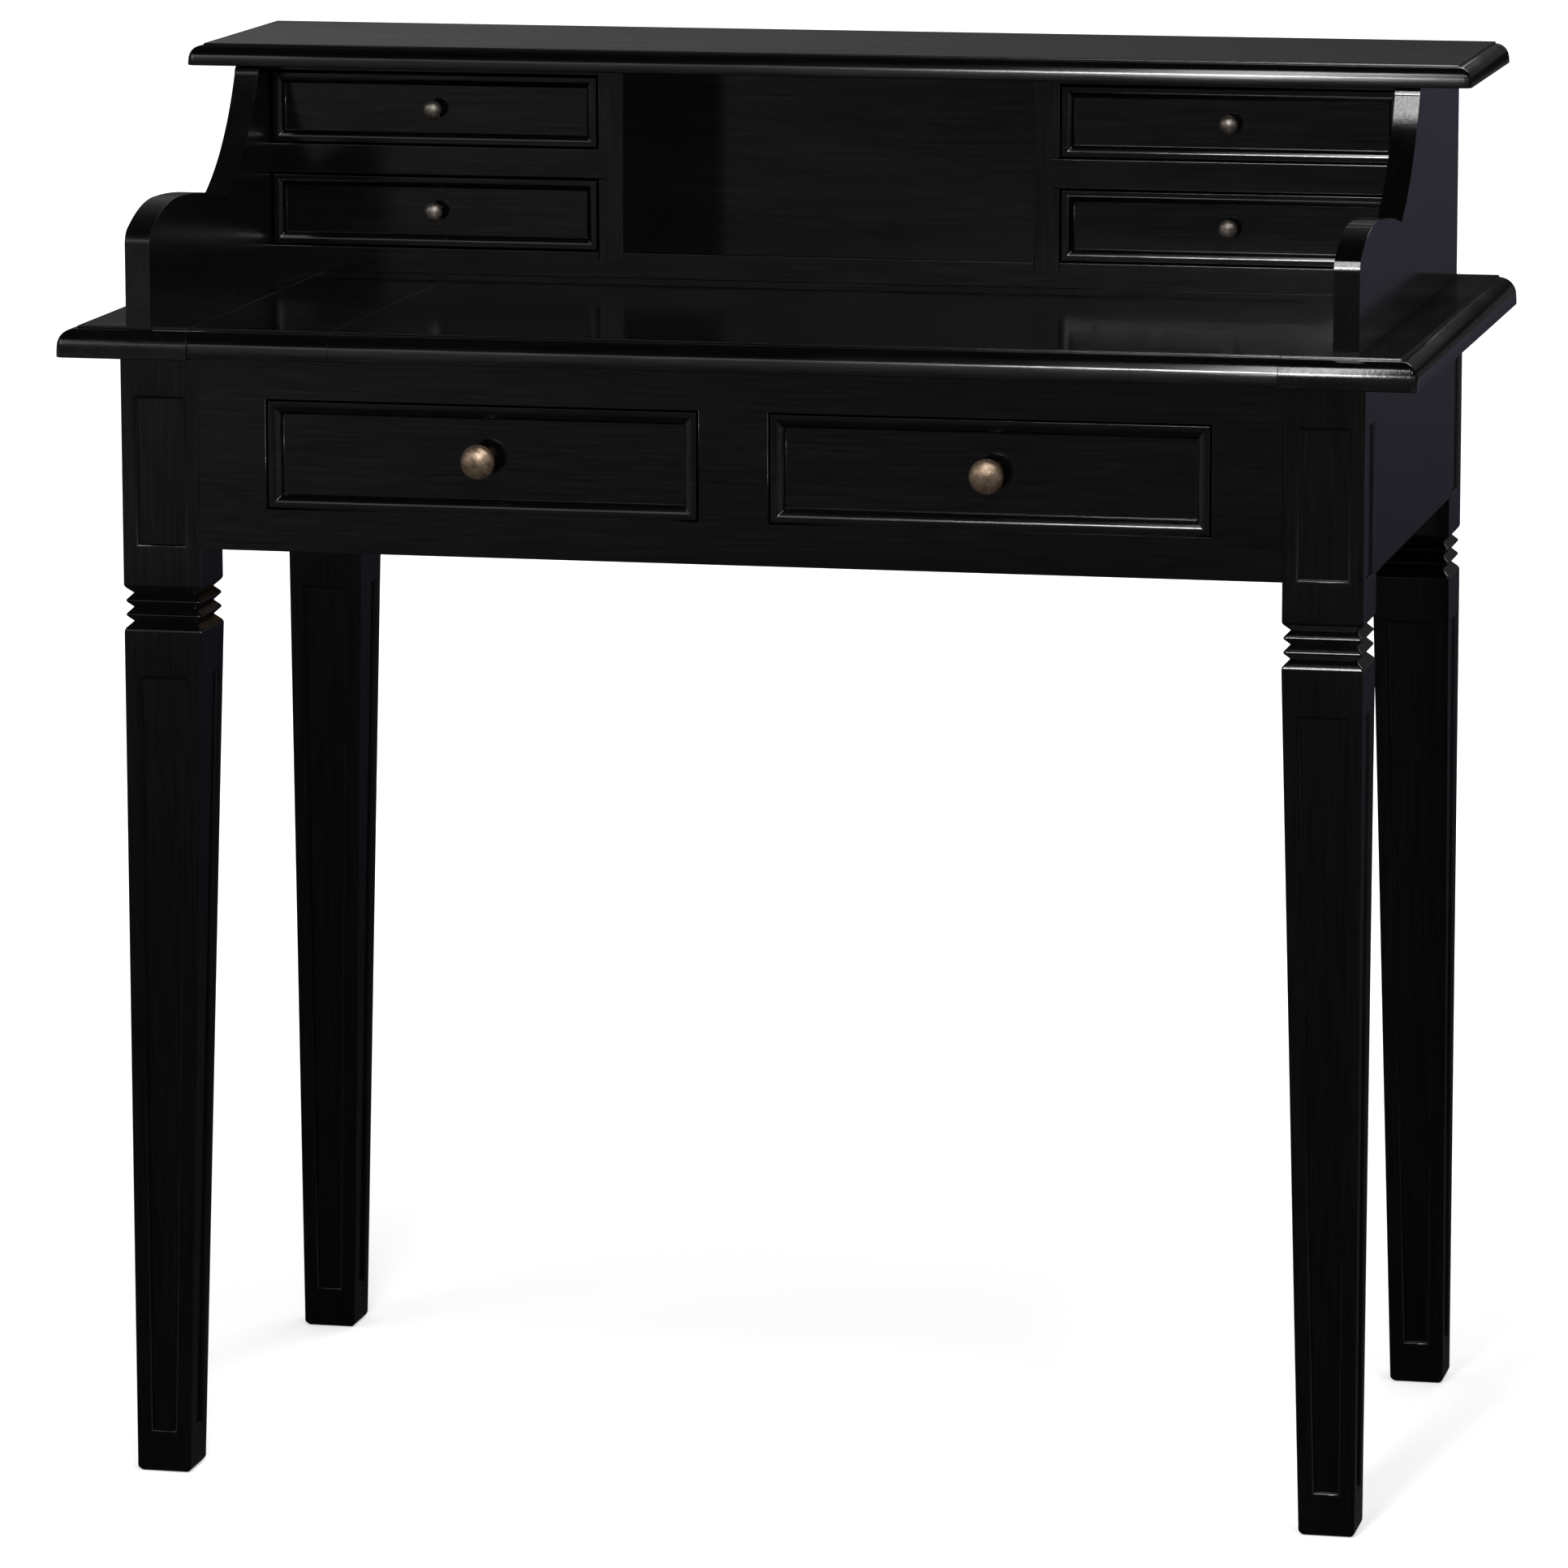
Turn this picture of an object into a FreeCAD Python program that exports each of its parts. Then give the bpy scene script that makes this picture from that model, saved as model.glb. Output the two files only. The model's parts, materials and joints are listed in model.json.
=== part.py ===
import FreeCAD, Part
import math
import os

from FreeCAD import Vector

# A bonheur du jour: a small writing desk on ringed, tapered legs, with a low hutch of drawers on its
# top. Millimetres, +Z up, the front faces -Y, and the origin is at the middle of the footprint.

# Overall sizes
desk_width = 880.0
desk_depth = 470.0
writing_height = 760.0

# Desk top: a panel between two cross-grained end boards
end_board_thickness = 19.8
panel_thickness = 18.2
panel_setback = 0.8  # the end boards stand this far proud of the panel's front edge
panel_tongue_length = 12.0
panel_tongue_thickness = 6.0
desk_edge_radius = 12.0  # the ovolo on its front and sides
desk_edge_step = 1.4  # upright step between the ovolo and the flat
top_corner_radius = 5.0
inner_line_inset = 93.0  # fine line across the panel, from its joint with the end board
joint_line_width = 0.9

# Legs
side_overhang = 36.0
front_overhang = 25.5
back_overhang = 3.0
leg_square = 52.0
foot_square = 36.0
foot_chamfer = 2.5
block_height = 151.2
ring_count = 3
ring_pitch = 9.2
ring_depth = 5.0
ridge_inset = 0.8
block_panel_margin = 8.5
block_panel_end = 26.0
shaft_panel_margin = 9.0
shaft_panel_top = 30.0
shaft_panel_bottom = 24.0
panel_chamfer = 4.5
panel_sink = 2.4

# Aprons, the frame round the two long drawers, and their joints
apron_height = 125.0
apron_thickness = 20.0
bottom_rail_height = 27.0
drawer_opening_height = 71.5
end_stile_width = 45.0
centre_stile_width = 46.0
tenon_length = 22.0
tenon_thickness = 10.0
tenon_shoulder = 6.0
stile_tenon_length = 9.0
stile_tenon_thickness = 6.5
stile_tenon_shoulder = 4.5
mortise_end_gap = 1.0

# Runners under the long drawers and kickers over them
runner_bearing = 18.0
runner_outboard = 22.0
runner_thickness = 18.0
guide_height = 16.0
kicker_thickness = 13.0
stub_length = 6.0
stub_thickness = 9.0

# Buttons that hold the top
button_width = 24.0
button_length = 28.0
button_thickness = 11.0
button_tongue = 6.0
button_tongue_thickness = 5.0
button_slot_spare = 4.0
side_button_spacing = 148.0

# Hutch
hutch_height = 142.6  # from the desk top to the underside of the hutch top
hutch_side_inset = 40.5  # desk's end to the outside of the hutch side
hutch_side_thickness = 16.5
hutch_side_setback = 25.0  # desk front to the front of the gallery
hutch_front_setback = 311.0  # desk front to the drawers' plane
hutch_back_inset = 2.0
gallery_front_height = 51.0  # the upright part of its front
gallery_shoulder_run = 7.0
gallery_shoulder_height = 61.4
gallery_crest_run = 65.0  # gallery front to its crest
gallery_crest_height = 75.2
gallery_length = 179.0  # gallery front to the notch
notch_height = 63.5
cheek_run = 256.0  # gallery front to the top of the sweep
cheek_sweep_sag = 9.2
cheek_corner_radius = 5.5  # from the sweep into the hutch top
hutch_top_thickness = 14.4
hutch_top_overhang = 33.5
hutch_top_lip = 5.5  # hutch top past the sides' upper front edge
hutch_edge_radius = 9.5
hutch_edge_step = 1.3
hutch_floor_thickness = 20.0
floor_quirk = 3.0
divider_thickness = 17.5
pigeonhole_width = 278.5
small_opening_height = 48.8
hutch_rail_height = 20.0
hutch_rail_depth = 26.0
dust_board_thickness = 8.0
hutch_back_thickness = 8.0
housing_depth = 5.0
back_rabbet = 8.0
foot_tenon_depth = 8.0  # of each side, down into the desk top
foot_tenon_shoulder = 5.0

# Drawers
front_gap = 1.2  # round each drawer front
running_gap = 0.3  # under the drawer sides
box_top_gap = 2.0
drawer_rear_gap = 1.0
long_front_thickness = 18.0
long_side_thickness = 10.0
long_bottom_thickness = 5.0
small_front_thickness = 14.0
small_side_thickness = 7.0
small_bottom_thickness = 3.5
bottom_lift = 6.0  # drawer side's lower edge to the bottom's groove
groove_depth = 4.0
long_dovetail_length = 9.0
small_dovetail_length = 7.0
dovetail_width = 13.0  # at its root
dovetail_flare = 1.2  # to each side, at its tip
border_flat = 2.5
long_border_radius = 6.3
small_border_radius = 5.0
border_step = 0.5

# Knobs: radii, then how far each edge of the profile stands off the drawer's field
long_knob_rosette_radius = 7.0
long_knob_neck_radius = 4.6
long_knob_rim_radius = 11.2
long_knob_brow_radius = 8.4
long_knob_rosette = 2.2
long_knob_throat = 8.4
long_knob_rim = 15.0
long_knob_brow = 20.2
long_knob_reach = 22.0
small_knob_rosette_radius = 4.0
small_knob_neck_radius = 2.7
small_knob_rim_radius = 6.4
small_knob_brow_radius = 4.8
small_knob_rosette = 1.4
small_knob_throat = 5.2
small_knob_rim = 9.2
small_knob_brow = 12.4
small_knob_reach = 13.5
knob_spigot_radius = 2.0
knob_spigot_length = 4.5
knob_hole_gap = 0.1

# Levels
panel_underside = writing_height - panel_thickness
leg_top = writing_height - end_board_thickness
apron_bottom = leg_top - apron_height
opening_bottom = apron_bottom + bottom_rail_height
opening_top = opening_bottom + drawer_opening_height
block_bottom = leg_top - block_height
shaft_top = block_bottom - ring_count * ring_pitch
hutch_top_underside = writing_height + hutch_height
small_lower_bottom = writing_height + hutch_floor_thickness
small_lower_top = small_lower_bottom + small_opening_height
small_upper_bottom = small_lower_top + hutch_rail_height
small_upper_top = small_upper_bottom + small_opening_height

# Places across and along
half_width = desk_width / 2
half_depth = desk_depth / 2
leg_outer = half_width - side_overhang
leg_inner = leg_outer - leg_square
leg_front = -half_depth + front_overhang
leg_back = half_depth - back_overhang
apron_inner_front = leg_front + apron_thickness
apron_inner_back = leg_back - apron_thickness
apron_inner_side = leg_outer - apron_thickness
half_stile = centre_stile_width / 2
opening_outer = leg_inner - end_stile_width
gallery_front = -half_depth + hutch_side_setback
hutch_front = -half_depth + hutch_front_setback
hutch_back = half_depth - hutch_back_inset
hutch_back_inner = hutch_back - hutch_back_thickness
hutch_side_outer = half_width - hutch_side_inset
hutch_side_inner = hutch_side_outer - hutch_side_thickness
cheek_front = gallery_front + cheek_run + cheek_corner_radius
divider_inner = pigeonhole_width / 2
divider_outer = divider_inner + divider_thickness

SIDES = {"left": -1, "right": 1}


def box(x0, x1, y0, y1, z0, z1):
    """A block between two corners, whichever way round they are given."""
    low = Vector(min(x0, x1), min(y0, y1), min(z0, z1))
    return Part.makeBox(abs(x1 - x0), abs(y1 - y0), abs(z1 - z0), low)


def mirror_x(shape):
    return shape.mirror(Vector(0, 0, 0), Vector(1, 0, 0))


def mirror_y(shape):
    return shape.mirror(Vector(0, 0, 0), Vector(0, 1, 0))


def on_side(shape, side):
    """The shape as made for +X, or its mirror image for -X."""
    return shape if side > 0 else mirror_x(shape)


def prism(points, travel):
    """A straight-edged outline pushed along one direction."""
    return Part.Face(Part.makePolygon(points + points[:1])).extrude(travel)


def line(start, end):
    return Part.LineSegment(start, end).toShape()


def tangent_arc(start, heading, end):
    """The arc that leaves start in the given direction and ends at end."""
    chord = end - start
    bulge = heading - chord * (heading.dot(chord) / chord.dot(chord))
    rise = chord.Length / 2 * math.tan(heading.getAngle(chord) / 2)
    middle = (start + end) * 0.5 + bulge.normalize() * rise
    return Part.Arc(start, middle, end).toShape()


def stack(outlines):
    """A solid through a row of outlines, with flat faces between neighbours."""
    faces = [Part.Face(Part.makePolygon(ring + ring[:1])) for ring in (outlines[0], outlines[-1])]
    for lower, upper in zip(outlines, outlines[1:]):
        for i in range(len(lower)):
            j = (i + 1) % len(lower)
            faces.append(Part.Face(Part.makePolygon([lower[i], lower[j], upper[j], upper[i], lower[i]])))
    return Part.Solid(Part.Shell(faces))


# ---- moulded boards ----

def moulded_face(low, high, bottom, top, edge, ends, place):
    """A board's section with an ovolo edge at one or both ends. place puts (across, up) in space."""
    radius, step = edge
    round_top = top - step
    round_bottom = round_top - radius
    up = place(0, 1) - place(0, 0)
    edges = []
    top_points = []
    for at, inward, moulded in ((low, 1, ends[0]), (high, -1, ends[1])):
        if moulded:
            crown = at + inward * radius
            edges.append(line(place(at, bottom), place(at, round_bottom)))
            edges.append(tangent_arc(place(at, round_bottom), up, place(crown, round_top)))
            edges.append(line(place(crown, round_top), place(crown, top)))
            top_points.append(place(crown, top))
        else:
            edges.append(line(place(at, bottom), place(at, top)))
            top_points.append(place(at, top))
    edges.append(line(place(low, bottom), place(high, bottom)))
    edges.append(line(*top_points))
    return Part.Face(Part.Wire(Part.__sortEdges__(edges)))


def moulded_board(x0, x1, y0, y1, z0, z1, edge, sides):
    """A board moulded along its front and along the named sides, mitred and eased at the corners."""
    left, right = "left" in sides, "right" in sides
    along = moulded_face(y0, y1, z0, z1, edge, (True, False), lambda a, z: Vector(x0, a, z))
    board = along.extrude(Vector(x1 - x0, 0, 0))
    if not sides:
        return board
    across = moulded_face(x0, x1, z0, z1, edge, (left, right), lambda a, z: Vector(a, y0, z))
    board = board.common(across.extrude(Vector(0, y1 - y0, 0)))
    blank = box(x0, x1, y0, y1, z0, z1)
    front_corners = []
    for x, wanted in ((x0, left), (x1, right)):
        if wanted:
            front_corners += [
                e for e in blank.Edges
                if all(abs(v.X - x) < 1e-6 and abs(v.Y - y0) < 1e-6 for v in e.Vertexes)
            ]
    return board.common(blank.makeFillet(top_corner_radius, front_corners))


def joint_places():
    return [side * x for side in SIDES.values() for x in (leg_inner - inner_line_inset, leg_inner)]


def joint_line(x):
    """A fine V across the desk top, where two boards meet."""
    half, width = joint_line_width / 2, joint_line_width
    outline = [
        Vector(x - width, -half_depth, writing_height + half),
        Vector(x, -half_depth, writing_height - half),
        Vector(x + width, -half_depth, writing_height + half),
    ]
    return prism(outline, Vector(0, desk_depth, 0))


def desk_top():
    edge = (desk_edge_radius, desk_edge_step)
    panel = moulded_board(
        -leg_inner, leg_inner, -half_depth + panel_setback, half_depth,
        panel_underside, writing_height, edge, ()
    )
    tongue_bottom = writing_height - (panel_thickness + panel_tongue_thickness) / 2
    tongue_front = leg_front + apron_thickness
    reach = leg_inner + panel_tongue_length
    panel = panel.fuse(box(
        -reach, reach, tongue_front, half_depth - apron_thickness,
        tongue_bottom, tongue_bottom + panel_tongue_thickness
    )).removeSplitter()
    end_board = moulded_board(
        leg_inner, half_width, -half_depth, half_depth, leg_top, writing_height, edge, ("right",)
    )
    end_board = end_board.cut(box(
        leg_inner, reach + mortise_end_gap, tongue_front, half_depth - apron_thickness,
        tongue_bottom, tongue_bottom + panel_tongue_thickness
    )).cut(foot_tenon())
    nodes = {"desk_top_panel": panel.cut([joint_line(x) for x in joint_places()])}
    for name, side in SIDES.items():
        nodes["desk_top_end_" + name] = on_side(end_board.cut(joint_line(leg_inner)), side)
    return nodes


# ---- legs ----

def inset_outline(corners, margins):
    """The outline moved in from each edge by its margin, in the plane of the corners."""
    normal = (corners[1] - corners[0]).cross(corners[2] - corners[1]).normalize()
    count = len(corners)
    offsets = []
    for i in range(count):
        along = (corners[(i + 1) % count] - corners[i]).normalize()
        inward = normal.cross(along)
        offsets.append((corners[i] + inward * margins[i], along))
    moved = []
    for i in range(count):
        point, along = offsets[i - 1]
        other, other_along = offsets[i]
        cross = along.cross(other_along)
        distance = (other - point).cross(other_along).dot(cross) / cross.dot(cross)
        moved.append(point + along * distance)
    return moved


def sunk_panel(corners, margins):
    """The wood taken out for a sunk panel with chamfered edges. The corners run so that their normal
    points into the wood."""
    normal = (corners[1] - corners[0]).cross(corners[2] - corners[1]).normalize()
    spread = panel_chamfer / 2
    mouth = inset_outline(corners, [m - spread for m in margins])
    field = inset_outline(corners, [m + panel_chamfer for m in margins])
    rise = panel_sink * spread / panel_chamfer
    mouth = [p - normal * rise for p in mouth]
    field = [p + normal * panel_sink for p in field]
    return stack([mouth, field])


def leg_outline(x0, x1, y0, y1, z, inset):
    return [
        Vector(x0 + inset, y0 + inset, z), Vector(x1 - inset, y0 + inset, z),
        Vector(x1 - inset, y1 - inset, z), Vector(x0 + inset, y1 - inset, z),
    ]


def leg_blank():
    """The front right leg with no mortises: square block, ringed neck and a shaft that tapers on its
    two inner faces."""
    x0, x1 = leg_inner, leg_outer
    y0, y1 = leg_front, leg_front + leg_square
    foot_x, foot_y = x1 - foot_square, y0 + foot_square
    sunk = foot_chamfer / shaft_top
    ankle_x = foot_x + (x0 - foot_x) * sunk
    ankle_y = foot_y + (y1 - foot_y) * sunk
    outlines = [
        leg_outline(foot_x, x1, y0, foot_y, 0, foot_chamfer),
        leg_outline(ankle_x, x1, y0, ankle_y, foot_chamfer, 0),
        leg_outline(x0, x1, y0, y1, shaft_top, 0),
    ]
    for ring in range(ring_count):
        bottom = shaft_top + ring * ring_pitch
        outlines.append(leg_outline(x0, x1, y0, y1, bottom + ring_pitch / 2, ring_depth))
        last = ring == ring_count - 1
        outlines.append(leg_outline(x0, x1, y0, y1, bottom + ring_pitch, 0 if last else ridge_inset))
    outlines.append(leg_outline(x0, x1, y0, y1, leg_top, 0))
    leg = stack(outlines)
    shaft_foot, shaft_head = outlines[1], outlines[2]
    block_foot, block_head = outlines[-2], outlines[-1]
    shaft_margins = [shaft_panel_bottom, shaft_panel_margin, shaft_panel_top, shaft_panel_margin]
    block_margins = [block_panel_end, block_panel_margin, block_panel_end, block_panel_margin]
    panels = []
    for face in range(4):
        other = (face + 1) % 4
        quad = [shaft_foot[other], shaft_foot[face], shaft_head[face], shaft_head[other]]
        panels.append(sunk_panel(quad, shaft_margins))
    for face in (0, 1):
        other = face + 1
        quad = [block_foot[other], block_foot[face], block_head[face], block_head[other]]
        panels.append(sunk_panel(quad, block_margins))
    return leg.cut(panels)


def legs(front_members, back_members, side_mortises):
    """The four legs, each cut for the tenons that it takes."""
    blank = leg_blank()
    nodes = {}
    for name, side in SIDES.items():
        cutters = [on_side(m, side) for m in front_members + side_mortises]
        nodes["leg_front_" + name] = on_side(blank, side).cut(cutters)
        cutters = [on_side(m, side) for m in back_members + side_mortises]
        back = mirror_y(blank)
        back.translate(Vector(0, leg_front + leg_back, 0))
        nodes["leg_back_" + name] = on_side(back, side).cut(cutters)
    return nodes


# ---- aprons and the frame round the long drawers ----

def end_tenon(y_face, inward, z0, z1, gap):
    """The tenon on a rail's right-hand end, in the leg's inner face. gap lengthens it for a mortise."""
    y0 = y_face + inward * tenon_shoulder
    return box(leg_inner, leg_inner + tenon_length + gap, y0, y0 + inward * tenon_thickness, z0, z1)


def side_tenon(gap):
    """The two tenons of the right side apron, as one bar long enough for both legs."""
    x0 = leg_outer - tenon_shoulder
    return box(
        x0 - tenon_thickness, x0, leg_front + leg_square - tenon_length - gap,
        leg_back - leg_square + tenon_length + gap,
        apron_bottom + tenon_shoulder, leg_top - tenon_shoulder
    )


def rail(y_face, inward, z0, z1):
    """A rail between two legs, with a tenon on each end."""
    body = box(-leg_inner, leg_inner, y_face, y_face + inward * apron_thickness, z0, z1)
    tenon = end_tenon(y_face, inward, z0 + tenon_shoulder, z1 - tenon_shoulder, 0)
    return body.fuse([tenon, mirror_x(tenon)])


def stile_tenon(x0, x1, gap):
    """The tenons above and below a stile, as one bar."""
    y0 = leg_front + stile_tenon_shoulder
    return box(
        x0 + tenon_shoulder, x1 - tenon_shoulder, y0, y0 + stile_tenon_thickness,
        opening_bottom - stile_tenon_length - gap, opening_top + stile_tenon_length + gap
    )


def stile(x0, x1):
    return box(x0, x1, leg_front, apron_inner_front, opening_bottom, opening_top).fuse(stile_tenon(x0, x1, 0))


def stile_spans():
    return {
        "left": (-leg_inner, -opening_outer),
        "centre": (-half_stile, half_stile),
        "right": (opening_outer, leg_inner),
    }


def runner_stubs(x0, x1, z_mid, gap):
    """The stub tenons at the two ends of a runner or kicker, as one bar."""
    return box(
        x0 + stub_length, x1 - stub_length, apron_inner_front - stub_length - gap,
        apron_inner_back + stub_length + gap, z_mid - stub_thickness / 2, z_mid + stub_thickness / 2
    )


def carrier_spans():
    """Where the runners and kickers lie across the desk: the right one and the centre one."""
    return {
        "outer": (opening_outer - runner_bearing, opening_outer + runner_outboard),
        "centre": (-half_stile - runner_bearing, half_stile + runner_bearing),
    }


def runner_level():
    return opening_bottom - runner_thickness / 2


def kicker_level():
    return opening_top + kicker_thickness / 2


def runners():
    """Rails that carry the long drawers' sides, each with a guide that keeps them straight."""
    span = apron_inner_front, apron_inner_back
    made = {}
    for name, (x0, x1) in carrier_spans().items():
        bearer = box(x0, x1, *span, opening_bottom - runner_thickness, opening_bottom)
        guide_low = opening_outer if name == "outer" else -half_stile
        guide_high = x1 if name == "outer" else half_stile
        guide = box(guide_low, guide_high, *span, opening_bottom, opening_bottom + guide_height)
        made[name] = bearer.fuse([guide, runner_stubs(x0, x1, runner_level(), 0)]).removeSplitter()
    pair = Part.Compound([made["outer"], mirror_x(made["outer"])])
    return {"runners_outer": pair, "runner_centre": made["centre"]}


def kickers():
    """Rails over the long drawers' sides that stop an open drawer from tipping."""
    made = []
    for x0, x1 in carrier_spans().values():
        body = box(x0, x1, apron_inner_front, apron_inner_back, opening_top, opening_top + kicker_thickness)
        made.append(body.fuse(runner_stubs(x0, x1, kicker_level(), 0)).removeSplitter())
    outer, centre = made
    return {"kickers": Part.Compound([outer, mirror_x(outer), centre])}


# ---- buttons ----

def button_places():
    """(x, y, underside of the top, direction of the apron) for each button on the left and the right."""
    middle = (half_stile + opening_outer) / 2
    between = (leg_back + leg_front) / 2
    stand = side_button_spacing / 2
    places = []
    for side in SIDES.values():
        places.append((side * middle, apron_inner_front, panel_underside, (0, -1)))
        places.append((side * middle, apron_inner_back, panel_underside, (0, 1)))
        for y in (between - stand, between + stand):
            places.append((side * apron_inner_side, y, leg_top, (side, 0)))
    return places


def button_block(x, y, under, way, tongue_spare=0.0, width_spare=0.0):
    """The button's body and its tongue. The spares enlarge the tongue into its slot in the apron."""
    wx, wy = way
    half = button_width / 2
    side_x, side_y = abs(wy), abs(wx)
    body = box(
        x - wx * button_length - side_x * half, x + side_x * half,
        y - wy * button_length - side_y * half, y + side_y * half,
        under - button_thickness, under
    )
    grown = half + width_spare
    reach = button_tongue + tongue_spare
    tongue = box(
        x - side_x * grown, x + wx * reach + side_x * grown,
        y - side_y * grown, y + wy * reach + side_y * grown,
        under - button_thickness, under - button_thickness + button_tongue_thickness
    )
    return body, tongue


def button_slots():
    return [button_block(*p, mortise_end_gap, button_slot_spare)[1] for p in button_places()]


def buttons():
    """Eight buttons, glued under the top, each with its tongue in a slot of an apron."""
    made = []
    for place in button_places():
        body, tongue = button_block(*place)
        made.append(body.fuse(tongue).removeSplitter())
    return {"top_buttons": Part.Compound(made)}


# ---- hutch ----

def hutch_side_outline():
    """The side's outline: gallery front, low crest, long fall to a notch, then the hollow sweep up to
    a rounded corner under the hutch top."""
    def at(run, height):
        return Vector(hutch_side_inner, gallery_front + run, writing_height + height)

    up, back = Vector(0, 0, 1), Vector(0, 1, 0)
    foot = at(0, 0)
    front = at(0, gallery_front_height)
    shoulder = at(gallery_shoulder_run, gallery_shoulder_height)
    crest = at(gallery_crest_run, gallery_crest_height)
    notch = at(gallery_length, notch_height)
    head = at(cheek_run, hutch_height - cheek_corner_radius)
    corner = at(cheek_run + cheek_corner_radius, hutch_height)
    tenon_front = corner + up * housing_depth
    tenon_back = Vector(hutch_side_inner, hutch_back, tenon_front.z)
    heel = Vector(hutch_side_inner, hutch_back, writing_height)
    chord = head - notch
    bow = Vector(0, chord.z, -chord.y).normalize() * cheek_sweep_sag
    return [
        line(heel, foot),
        line(foot, front),
        tangent_arc(front, up, shoulder),
        tangent_arc(crest, back * -1, shoulder),
        tangent_arc(crest, back, notch),
        Part.Arc(notch, (notch + head) * 0.5 + bow, head).toShape(),
        tangent_arc(head, up, corner),
        line(corner, tenon_front),
        line(tenon_front, tenon_back),
        line(tenon_back, heel),
    ]


def hutch_housings():
    """What the right hutch side is cut for: floor, back, rail and dust board."""
    reach = hutch_side_inner + housing_depth
    return [
        box(hutch_side_inner, reach, hutch_front, hutch_back_inner, writing_height, small_lower_bottom),
        box(hutch_side_inner, hutch_side_inner + back_rabbet, hutch_back_inner, hutch_back,
            writing_height, hutch_top_underside),
        rail_bar(),
        dust_board(),
    ]


def foot_tenon():
    """The stub tenon under the right hutch side."""
    return box(
        hutch_side_inner + foot_tenon_shoulder, hutch_side_outer - foot_tenon_shoulder,
        hutch_front, hutch_back_inner, writing_height - foot_tenon_depth, writing_height
    )


def hutch_side():
    face = Part.Face(Part.Wire(Part.__sortEdges__(hutch_side_outline())))
    board = face.extrude(Vector(hutch_side_thickness, 0, 0)).cut(hutch_housings())
    return board.fuse(foot_tenon()).removeSplitter()


def rail_bar():
    """The right rail between the small drawers, with its ends in the side and the divider."""
    return box(
        divider_outer - housing_depth, hutch_side_inner + housing_depth,
        hutch_front, hutch_front + hutch_rail_depth, small_lower_top, small_upper_bottom
    )


def dust_board():
    """The right thin board behind the rail that the upper small drawer runs on."""
    return box(
        divider_outer - housing_depth, hutch_side_inner + housing_depth,
        hutch_front + hutch_rail_depth, hutch_back_inner,
        small_upper_bottom - dust_board_thickness, small_upper_bottom
    )


def frieze_strip():
    """The right strip under the hutch top, over the upper small drawer."""
    return box(
        divider_outer, hutch_side_inner, hutch_front, hutch_front + hutch_rail_depth,
        small_upper_top, hutch_top_underside
    )


def divider():
    body = box(
        divider_inner, divider_outer, hutch_front, hutch_back_inner,
        small_lower_bottom - housing_depth, hutch_top_underside + housing_depth
    )
    return body.cut([rail_bar(), dust_board()])


def hutch_floor(dividers):
    reach = hutch_side_inner + housing_depth
    floor = box(-reach, reach, hutch_front, hutch_back_inner, writing_height, small_lower_bottom)
    quirk = box(
        -hutch_side_inner, hutch_side_inner, hutch_front, hutch_front + floor_quirk,
        writing_height, writing_height + floor_quirk
    )
    return floor.cut([quirk] + dividers)


def hutch_top(uprights):
    half = hutch_side_outer + hutch_top_overhang
    board = moulded_board(
        -half, half, cheek_front - hutch_top_lip, half_depth,
        hutch_top_underside, hutch_top_underside + hutch_top_thickness,
        (hutch_edge_radius, hutch_edge_step), ("left", "right")
    )
    return board.cut(uprights)


def hutch():
    side = hutch_side()
    right_divider = divider()
    pieces = {
        "hutch_side": side,
        "hutch_divider": right_divider,
        "hutch_rail": rail_bar(),
    }
    nodes = {}
    for label, shape in pieces.items():
        for name, way in SIDES.items():
            nodes[label + "_" + name] = on_side(shape, way)
    dividers = [right_divider, mirror_x(right_divider)]
    nodes["hutch_floor"] = hutch_floor(dividers)
    nodes["hutch_top"] = hutch_top(dividers + [side, mirror_x(side)])
    back_half = hutch_side_inner + back_rabbet
    nodes["hutch_back"] = box(
        -back_half, back_half, hutch_back_inner, hutch_back, writing_height, hutch_top_underside
    )
    nodes["dust_boards"] = Part.Compound([dust_board(), mirror_x(dust_board())])
    nodes["frieze_strips"] = Part.Compound([frieze_strip(), mirror_x(frieze_strip())])
    return nodes


# ---- drawers ----

def border_cutter(x0, x1, z0, z1, y_face, radius):
    """The wood taken out of a drawer front to leave a rounded border round a sunk field."""
    deep = radius + border_step
    proud = radius

    def section(low, high, place):
        into = place(0, 1) - place(0, 0)
        edges = []
        for edge, inward in ((low, 1), (high, -1)):
            crest = edge + inward * border_flat
            foot = crest + inward * radius
            edges.append(tangent_arc(place(foot, radius), into * -1, place(crest, 0)))
            edges.append(line(place(foot, radius), place(foot, deep)))
            edges.append(line(place(crest, 0), place(crest, -proud)))
        width = border_flat + radius
        edges.append(line(place(low + width, deep), place(high - width, deep)))
        edges.append(line(place(low + border_flat, -proud), place(high - border_flat, -proud)))
        return Part.Face(Part.Wire(Part.__sortEdges__(edges)))

    across = section(x0, x1, lambda a, d: Vector(a, y_face + d, z0)).extrude(Vector(0, 0, z1 - z0))
    upright = section(z0, z1, lambda a, d: Vector(x0, y_face + d, a)).extrude(Vector(x1 - x0, 0, 0))
    return across.common(upright)


def tails(x0, x1, z0, z1, y_shoulder, length, count):
    """The dovetails on the front end of a drawer side."""
    pitch = (z1 - z0) / count
    root = dovetail_width / 2
    tip = root + dovetail_flare
    made = []
    for i in range(count):
        middle = z0 + (i + 0.5) * pitch
        outline = [
            Vector(x0, y_shoulder, middle - root), Vector(x0, y_shoulder - length, middle - tip),
            Vector(x0, y_shoulder - length, middle + tip), Vector(x0, y_shoulder, middle + root),
        ]
        made.append(prism(outline, Vector(x1 - x0, 0, 0)))
    return made


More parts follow.
